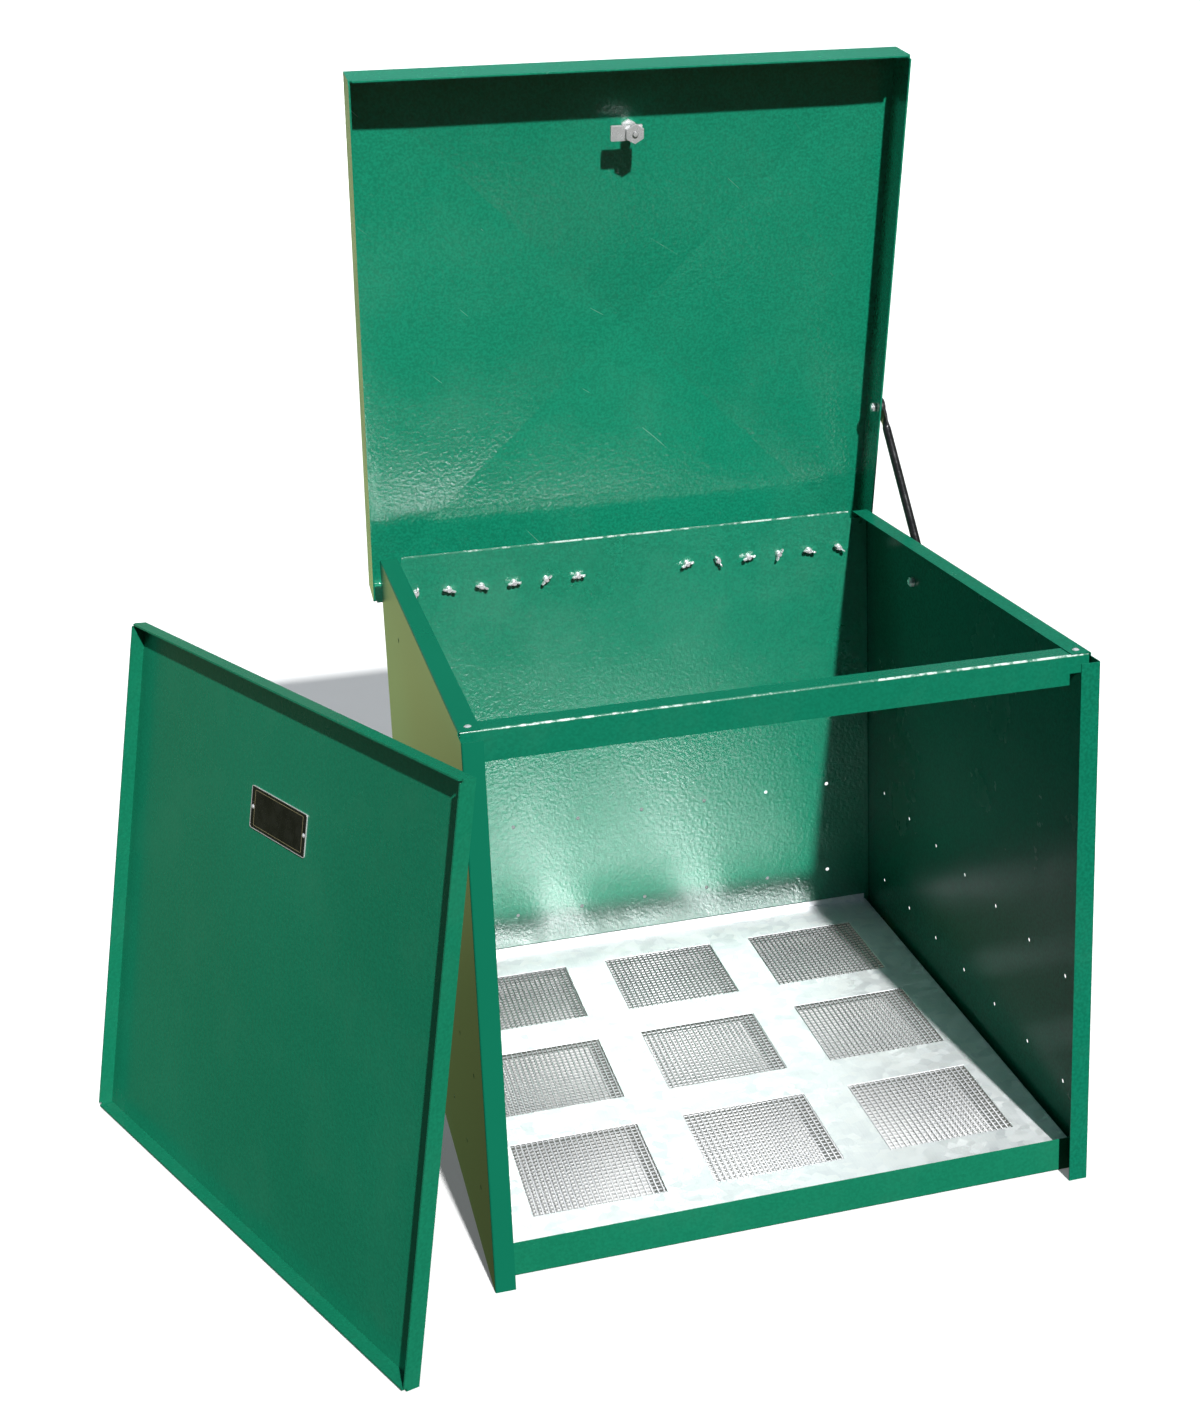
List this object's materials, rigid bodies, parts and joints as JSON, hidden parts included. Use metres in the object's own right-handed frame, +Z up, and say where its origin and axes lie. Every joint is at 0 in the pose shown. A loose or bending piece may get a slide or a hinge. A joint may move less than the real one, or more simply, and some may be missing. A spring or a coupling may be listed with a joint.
{
  "type": "compost bin",
  "caption": "Square folded-steel compost bin with a hinged flanged lid on a prop stay, a lift-out front door and a screened floor.",
  "frame": {"origin": "on the ground, at the middle of the whole footprint of bin, open lid and leaning door", "axes": "+Z up, +X to the bin's right as seen from its front, -Y out of the bin's open front"},
  "size_m": [1.2818, 0.9638, 1.4294],
  "materials": {
    "green_coat": "glossy powder coat with fine orange peel",
    "green_rivet": "glossy powder coat",
    "galvanised": "bare galvanised sheet",
    "galvanised_mesh": "galvanised wire mesh",
    "zinc": "bright zinc plate",
    "pale_rivet": "bright aluminium",
    "hinge_black": "dark satin paint",
    "stay_black": "gloss black paint",
    "latch_black": "satin black",
    "plate_black": "gloss black"
  },
  "bodies": {
    "bin": {"left_side_panel": "green_coat", "right_side_panel": "green_coat", "back_panel": "green_coat", "front_crossbar": "green_coat", "front_sill": "green_coat", "floor_tray": "galvanised", "floor_mesh": "galvanised_mesh", "crossbar_rivets": "pale_rivet", "corner_rivets": "green_rivet", "left_hinge_leaf": "hinge_black", "right_hinge_leaf": "hinge_black", "left_hinge_pin": "zinc", "right_hinge_pin": "zinc", "hinge_bolts": "zinc", "wing_nuts": "zinc", "stay_bolt": "zinc", "stay_spacer": "zinc", "stay_nut": "zinc"},
    "lid": {"lid_panel": "green_coat", "left_lid_leaf": "hinge_black", "right_lid_leaf": "hinge_black", "lid_leaf_rivets": "green_rivet", "stay_stud": "zinc", "stay_stud_nut": "zinc", "latch_barrel": "zinc", "latch_barrel_nut": "zinc"},
    "latch": {"latch_handle": "latch_black", "latch_cam": "zinc", "latch_cam_nut": "zinc"},
    "stay": {"lid_stay": "stay_black"},
    "door": {"door_panel": "green_coat", "name_plate": "plate_black", "name_plate_rivets": "zinc"}
  },
  "joints": [
    {"name": "lid_hinge", "type": "hinge", "parent": "bin", "child": "lid", "pos_m": [0.22487, 0.4098, 0.6435], "axis": [1, 0, 0], "range_deg": [0, 77.6]},
    {"name": "latch_turn", "type": "hinge", "parent": "lid", "child": "latch", "pos_m": [0.22487, 0.33059, 1.33441], "axis": [0, 0.9767, 0.2147], "range_deg": [0, 90]},
    {"name": "stay_swing", "type": "hinge", "parent": "bin", "child": "stay", "pos_m": [0.63437, 0.218, 0.645], "axis": [1, 0, 0], "range_deg": [0, 124.16]},
    {"name": "door_lift", "type": "slide", "parent": "bin", "child": "door", "axis": [0, 0, 1], "range_m": [0, 0.7]}
  ],
  "couplings": [
    {"joint": "stay_swing", "follows": "lid_hinge", "ratio": 1.6}
  ]
}
